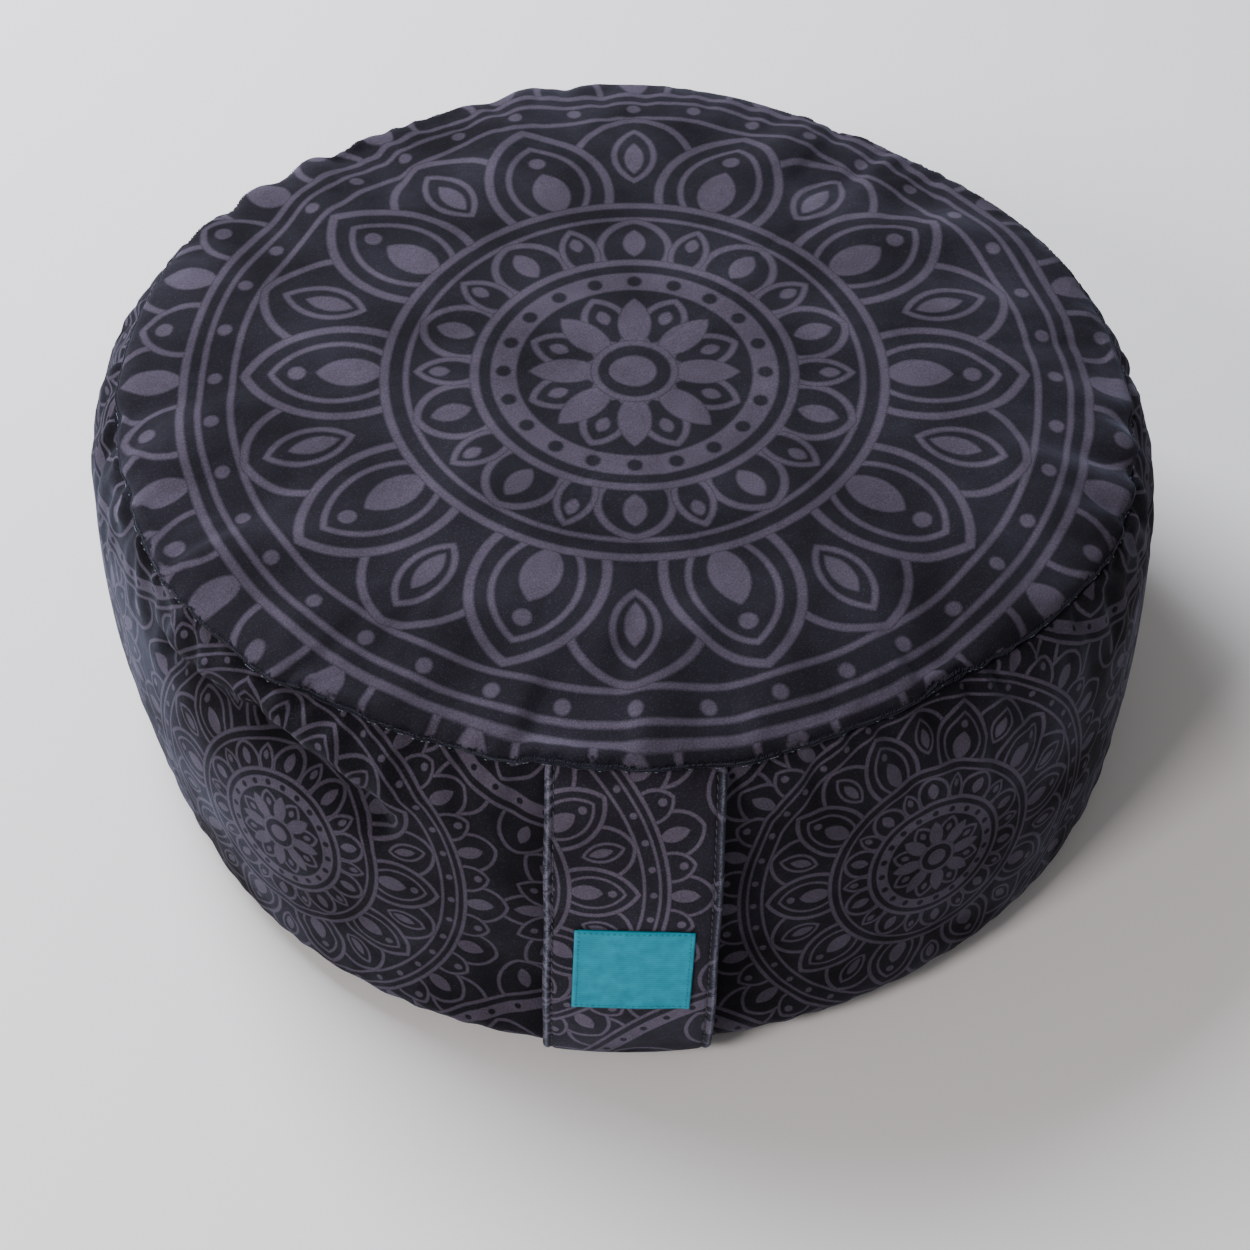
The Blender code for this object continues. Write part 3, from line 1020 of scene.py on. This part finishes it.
def label_place(station, across, out):
    """A point on the label: station is its height in mm."""
    height = station + LABEL_RISE * across
    along = float(np.interp(-height, [-z for z in STRAP_HEIGHTS[1:]], STRAP_KNOTS[1:]))
    strap_x = strap_middle(strap_level(spline(STRAP_KNOTS, STRAP_HEIGHTS, along)))
    wave = 0.25 * math.sin(height * 0.35 + across * 0.12) + 0.2 * math.sin(across * 0.3)
    curl = 0.35 * max(0.0, abs(across) - 16) / 4.5
    x = LABEL_X + across + LABEL_ASKEW * (height - LABEL_MIDDLE)
    return strap_place(along, x - strap_x, out + LABEL_GAP + 0.3 * wave + curl * 0.5)


def build_label():
    """The label: a plain woven rectangle with turned edges, sewn on a little askew."""
    section = mirrored(LABEL_FRONT, 0.0)
    stations = np.linspace(LABEL_MIDDLE + LABEL_TALL / 2, LABEL_MIDDLE - LABEL_TALL / 2, 40)

    def cloth_place(station, across):
        return across * MM, station * MM

    mesh = strip_mesh("satin_label", stations, section, label_place, cloth_place)
    mesh.materials.append(label_satin())
    label = new_piece("satin_label", mesh)
    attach(label, "root")
    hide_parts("label")


def label_satin():
    """Polyester satin, woven with long floats.

    The floats lie side by side, so it shines across them in soft streaks: painted highlights.
    """
    cloth = bpy.context.scene.zafu_cloth
    material, tree, shader = new_material("Polyester satin, woven")
    place = add_node(tree, "ShaderNodeUVMap", uv_map="cloth").outputs[0]
    # Ribs of the weave are 0.25 mm, drawn at 1 mm so that they show
    ribs = add_node(tree, "ShaderNodeTexWave", {
        "Vector": place, "Scale": 1 / (BANDS_TO_A_UNIT * 1.0 * MM), "Distortion": 1.5,
        "Detail": 2.0,
    }, bands_direction="Y").outputs["Fac"]
    # Painted highlights: streaks of shine some 6 mm long, painted into the colour
    streaks = add_node(tree, "ShaderNodeTexNoise", {
        "Vector": place, "Scale": 1 / (6 * MM), "Detail": 4.0, "Roughness": 0.6,
    }).outputs["Fac"]
    shade = work_out(tree, {"ribs": ribs, "streaks": streaks}, (
        ("ribbed", "MULTIPLY_ADD", "ribs", 0.14, 0.86),
        # Painted highlight: the colour is painted lighter and darker along the streaks
        ("painted_shine", "MULTIPLY_ADD", "streaks", 0.9, 0.55),
        ("both", "MULTIPLY", "ribbed", "painted_shine"),
    ))
    colour = add_node(tree, "ShaderNodeVectorMath", {
        0: tuple(cloth.label), "Scale": shade["both"],
    }, operation="SCALE")
    bump = add_node(tree, "ShaderNodeBump", {
        "Height": ribs, "Strength": 0.25, "Distance": 0.1 * MM,
    })
    set_inputs(tree, shader, {
        "Base Color": colour.outputs[0], "Roughness": 0.45, "Specular IOR Level": 0.2,
        "Normal": bump.outputs[0],
    })
    return material


# ---- stitching
def thread_material(name, code):
    """Spun thread or loose fibre: dull, with painted shade where it turns under."""
    material, tree, shader = new_material(name)
    place = add_node(tree, "ShaderNodeTexCoord").outputs["Object"]
    # The ply's twist is about 0.5 mm
    ply = add_node(tree, "ShaderNodeTexNoise", {
        "Vector": place, "Scale": 1 / (0.5 * MM), "Detail": 1.0,
    }).outputs["Fac"]
    light = linear_colour(code)
    # Painted shade: the colour is painted down to 0.55 of itself along the ply's noise
    painted_ply_shade = add_node(tree, "ShaderNodeMix", {
        0: ply, 6: (*(0.55 * part for part in light), 1.0), 7: (*light, 1.0),
    }, data_type="RGBA")
    set_inputs(tree, shader, {"Base Color": painted_ply_shade.outputs[2], "Roughness": 0.6})
    return material


def stitch_tree():
    """Geometry Nodes that lay stitches along the edges of a mesh, made once."""
    if "Row of stitches" in bpy.data.node_groups:
        return bpy.data.node_groups["Row of stitches"]
    tree = bpy.data.node_groups.new("Row of stitches", "GeometryNodeTree")
    tree.is_modifier = True
    for name, kind, value in (
        ("Geometry", "NodeSocketGeometry", None), ("Pitch", "NodeSocketFloat", 3.0 * MM),
        ("Length", "NodeSocketFloat", 2.0 * MM), ("Thickness", "NodeSocketFloat", 0.6 * MM),
        ("Slant", "NodeSocketFloat", 0.0), ("Scatter", "NodeSocketFloat", 0.0),
        ("Kept", "NodeSocketFloat", 1.0), ("Sides", "NodeSocketInt", 8),
        ("Seed", "NodeSocketInt", 1), ("Thread", "NodeSocketMaterial", None),
    ):
        socket = tree.interface.new_socket(name, in_out="INPUT", socket_type=kind)
        if value is not None:
            socket.default_value = value
    tree.interface.new_socket("Sewn", in_out="OUTPUT", socket_type="NodeSocketGeometry")
    given = add_node(tree, "NodeGroupInput").outputs
    curve = add_node(tree, "GeometryNodeMeshToCurve", {"Mesh": given["Geometry"]})
    points = add_node(tree, "GeometryNodeCurveToPoints", {
        "Curve": curve.outputs[0], "Length": given["Pitch"],
    }, mode="LENGTH")
    up = add_node(
        tree, "GeometryNodeInputNamedAttribute", {"Name": "outward"}, data_type="FLOAT_VECTOR",
    )
    chance = add_node(tree, "FunctionNodeRandomValue", {"Seed": given["Seed"]}, data_type="FLOAT")
    kept = add_node(tree, "FunctionNodeCompare", {
        "A": chance.outputs[1], "B": given["Kept"],
    }, data_type="FLOAT", operation="LESS_THAN")
    along = add_node(tree, "FunctionNodeAlignRotationToVector", {
        "Vector": points.outputs["Tangent"],
    }, axis="X")
    facing = add_node(tree, "FunctionNodeAlignRotationToVector", {
        "Rotation": along.outputs[0], "Vector": up.outputs[0],
    }, axis="Z", pivot_axis="X")
    spread = work_out(tree, {}, (
        ("lowest", "SUBTRACT", given["Slant"], given["Scatter"]),
        ("highest", "ADD", given["Slant"], given["Scatter"]),
    ))
    slant = add_node(tree, "FunctionNodeRandomValue", {
        "Min": spread["lowest"], "Max": spread["highest"], "Seed": given["Seed"],
    }, data_type="FLOAT")
    lean = add_node(tree, "FunctionNodeAxisAngleToRotation", {
        "Axis": (0.0, 0.0, 1.0), "Angle": slant.outputs[1],
    })
    turned = add_node(tree, "FunctionNodeRotateRotation", {
        "Rotation": facing.outputs[0], "Rotate By": lean.outputs[0],
    }, rotation_space="LOCAL")
    bead = add_node(tree, "GeometryNodeMeshUVSphere", {
        "Segments": given["Sides"], "Rings": 4, "Radius": 0.5,
    })
    shape = add_node(tree, "ShaderNodeCombineXYZ", {
        "X": given["Length"], "Y": given["Thickness"], "Z": given["Thickness"],
    })
    laid = add_node(tree, "GeometryNodeInstanceOnPoints", {
        "Points": points.outputs["Points"], "Selection": kept.outputs[0],
        "Instance": bead.outputs["Mesh"], "Rotation": turned.outputs[0],
        "Scale": shape.outputs[0],
    })
    real = add_node(tree, "GeometryNodeRealizeInstances", {0: laid.outputs[0]})
    soft = add_node(tree, "GeometryNodeSetShadeSmooth", {0: real.outputs[0]})
    thread = add_node(tree, "GeometryNodeSetMaterial", {
        "Geometry": soft.outputs[0], "Material": given["Thread"],
    })
    add_node(tree, "NodeGroupOutput", {0: thread.outputs[0]})
    return tree


def sew(name, lines, slot, **inputs):
    """Lay stitches along lines of (point, outward direction)."""
    verts, edges, outward = [], [], []
    for line in lines:
        first = len(verts)
        verts += [tuple(point) for point, out in line]
        outward += [tuple(out) for point, out in line]
        edges += [(first + i, first + i + 1) for i in range(len(line) - 1)]
    mesh = bpy.data.meshes.new(name)
    mesh.from_pydata(verts, edges, [])
    layer = mesh.attributes.new("outward", "FLOAT_VECTOR", "POINT")
    layer.data.foreach_set("vector", np.array(outward).ravel())
    row = new_piece(name, mesh)
    modifier = row.modifiers.new("Stitches", "NODES")
    modifier.node_group = stitch_tree()
    sockets = {item.name: item.identifier for item in modifier.node_group.interface.items_tree}
    for key, value in inputs.items():
        modifier[sockets[key]] = value
    finished(row)
    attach(row, "root")


def cover_line(place):
    """Points and outward directions along one row of the finished cover."""
    row = int(np.argmin(np.abs(fine_places() - place)))
    first = 1 + row * COLUMNS
    verts = bpy.data.objects["padded_cushion"].data.vertices
    ring = [verts[first + column % COLUMNS] for column in range(COLUMNS + 1)]
    return [(vert.co.copy(), vert.normal.copy()) for vert in ring]


def build_seam_pile():
    """Tufts of pile that the seam leaves standing, and pale lint caught in it."""
    tufts = [
        [(point + out * PILE_LIFT * MM, out) for point, out in cover_line(place)]
        for place in PILE_PLACES
    ]
    sew("seam_pile", tufts, "cover_cloth",
        Pitch=0.5 * MM, Length=1.8 * MM, Thickness=0.34 * MM, Slant=1.3, Scatter=0.9,
        Kept=0.75, Sides=3, Seed=4, Thread=thread_material("Cotton pile, dark", "#262739"))
    lint = [(point + out * LINT_LIFT * MM, out) for point, out in cover_line(LINT_PLACE)]
    sew("seam_lint", [lint], "cover_cloth",
        Pitch=1.1 * MM, Length=1.1 * MM, Thickness=0.26 * MM, Slant=0.6, Scatter=0.9,
        Kept=0.2, Sides=4, Seed=9, Thread=thread_material("Cotton lint, pale", "#8894a8"))


def build_stitching():
    """Stitches along the strap's edges and round the label."""
    stitch = bpy.context.scene.zafu_sizes.stitch
    out = Vector((0.0, -1.0, 0.25)).normalized()
    # The strap's stitches start 6 mm and end 3 mm inside its ends, in the valley
    stations = np.linspace(6.0, STRAP_KNOTS[-1] - 3.0, 90)
    strap_lines = [
        [(strap_place(station, across, -0.35), out) for station in stations]
        for across in (-STRAP_VALLEY, STRAP_VALLEY)
    ]
    sew("strap_stitches", strap_lines, "strap_cloth",
        Pitch=stitch * 1.3, Length=stitch, Thickness=0.5 * MM, Slant=0.12,
        Thread=thread_material("Spun polyester thread, grey", "#4b4957"))
    # A row 1.5 mm inside the label's sides and 1.2 mm inside its top and bottom
    half_x, half_y = LABEL_WIDE / 2 - 1.5, LABEL_TALL / 2 - 1.2
    corners = ((-half_x, half_y), (half_x, half_y), (half_x, -half_y), (-half_x, -half_y))
    label_lines = []
    for (xa, ya), (xb, yb) in zip(corners, corners[1:] + corners[:1]):
        label_lines.append([
            (label_place(LABEL_MIDDLE + ya + (yb - ya) * share, xa + (xb - xa) * share, 1.05), out)
            for share in np.linspace(0, 1, 24)
        ])
    sew("label_stitches", label_lines, "label_satin",
        Pitch=stitch * 0.8, Length=stitch * 0.55, Thickness=0.42 * MM, Slant=0.45,
        Thread=thread_material("Spun polyester thread, turquoise", "#1f9fb4"))


# ---- stage and operators
def build_stage():
    """A plain pale floor, soft light from the upper left, and the camera."""
    stage = bpy.context.scene.zafu_stage
    scene = bpy.context.scene
    bpy.ops.mesh.primitive_plane_add(size=FLOOR_SIZE, location=(0.0, 0.0, -FLOOR_DROP))
    floor = bpy.context.active_object
    floor.name = "floor"
    material, tree, shader = new_material("Matt white paper")
    # Uncoated paper, which scatters light evenly
    set_inputs(tree, shader, {"Base Color": (*linear_colour(PAPER), 1.0), "Roughness": 0.9})
    floor.data.materials.append(material)
    world = bpy.data.worlds.new("Soft daylight")
    world.use_nodes = True
    set_inputs(world.node_tree, world.node_tree.nodes["Background"], {
        "Color": (*linear_colour(DAYLIGHT), 1.0), "Strength": DAYLIGHT_STRENGTH,
    })
    scene.world = world
    for name, place, size, power, hue in LIGHTS:
        data = bpy.data.lights.new(name, "AREA")
        data.shape = "RECTANGLE"
        data.size, data.size_y = size
        data.energy = power
        data.color = linear_colour(hue)
        light = bpy.data.objects.new(name, data)
        scene.collection.objects.link(light)
        light.location = place
        light.rotation_euler = (-light.location).to_track_quat("-Z", "Y").to_euler()
    data = bpy.data.cameras.new("camera")
    data.lens = stage.lens
    data.sensor_width = 36.0
    camera = bpy.data.objects.new("camera", data)
    scene.collection.objects.link(camera)
    back = Vector((0.0, -math.cos(stage.elevation), math.sin(stage.elevation)))
    camera.location = LOOKED_AT + back * stage.distance
    camera.rotation_euler = (math.pi / 2 - stage.elevation, 0.0, 0.0)
    scene.camera = camera


class ZAFU_OT_cushion(bpy.types.Operator):
    """Build the padded cushion in printed cloth"""

    bl_idname = "zafu.cushion"
    bl_label = "Cushion"

    def execute(self, context):
        build_cushion()
        return {"FINISHED"}


class ZAFU_OT_strap(bpy.types.Operator):
    """Build the carry strap"""

    bl_idname = "zafu.strap"
    bl_label = "Strap"

    def execute(self, context):
        build_strap()
        return {"FINISHED"}


class ZAFU_OT_label(bpy.types.Operator):
    """Build the plain woven label"""

    bl_idname = "zafu.label"
    bl_label = "Label"

    def execute(self, context):
        build_label()
        return {"FINISHED"}


class ZAFU_OT_seam_pile(bpy.types.Operator):
    """Lay the tufts of pile along the top seam"""

    bl_idname = "zafu.seam_pile"
    bl_label = "Seam pile"

    def execute(self, context):
        build_seam_pile()
        return {"FINISHED"}


class ZAFU_OT_stitching(bpy.types.Operator):
    """Lay the stitches"""

    bl_idname = "zafu.stitching"
    bl_label = "Stitching"

    def execute(self, context):
        build_stitching()
        return {"FINISHED"}


class ZAFU_OT_stage(bpy.types.Operator):
    """Lay the floor and set the lights and the camera"""

    bl_idname = "zafu.stage"
    bl_label = "Stage"

    def execute(self, context):
        build_stage()
        return {"FINISHED"}


class ZAFU_PT_panel(bpy.types.Panel):
    """The cushion's sizes, colours and operators"""

    bl_label = "Zafu"
    bl_idname = "ZAFU_PT_panel"
    bl_space_type = "VIEW_3D"
    bl_region_type = "UI"
    bl_category = "Zafu"

    def draw(self, context):
        for name, group in GROUPS.items():
            for choice in group.__annotations__:
                self.layout.prop(getattr(context.scene, name), choice)
        for name in OPERATORS:
            self.layout.operator("zafu." + name)


OPERATORS = ("cushion", "strap", "label", "stitching", "seam_pile", "stage")
GROUPS = {"zafu_sizes": ZafuSizes, "zafu_cloth": ZafuCloth, "zafu_stage": ZafuStage}
CLASSES = (
    *GROUPS.values(), ZAFU_OT_cushion, ZAFU_OT_strap, ZAFU_OT_label,
    ZAFU_OT_stitching, ZAFU_OT_seam_pile, ZAFU_OT_stage, ZAFU_PT_panel,
)


def register():
    """Register the classes and hang the property groups on the scene."""
    for item in CLASSES:
        bpy.utils.register_class(item)
    for name, group in GROUPS.items():
        setattr(bpy.types.Scene, name, bpy.props.PointerProperty(type=group))


def unregister():
    """Undo register."""
    for name in GROUPS:
        delattr(bpy.types.Scene, name)
    for item in reversed(CLASSES):
        bpy.utils.unregister_class(item)


def main():
    """Build every piece."""
    register()
    for name in OPERATORS:
        getattr(bpy.ops.zafu, name)()
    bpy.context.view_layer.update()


if __name__ == "__main__":
    main()
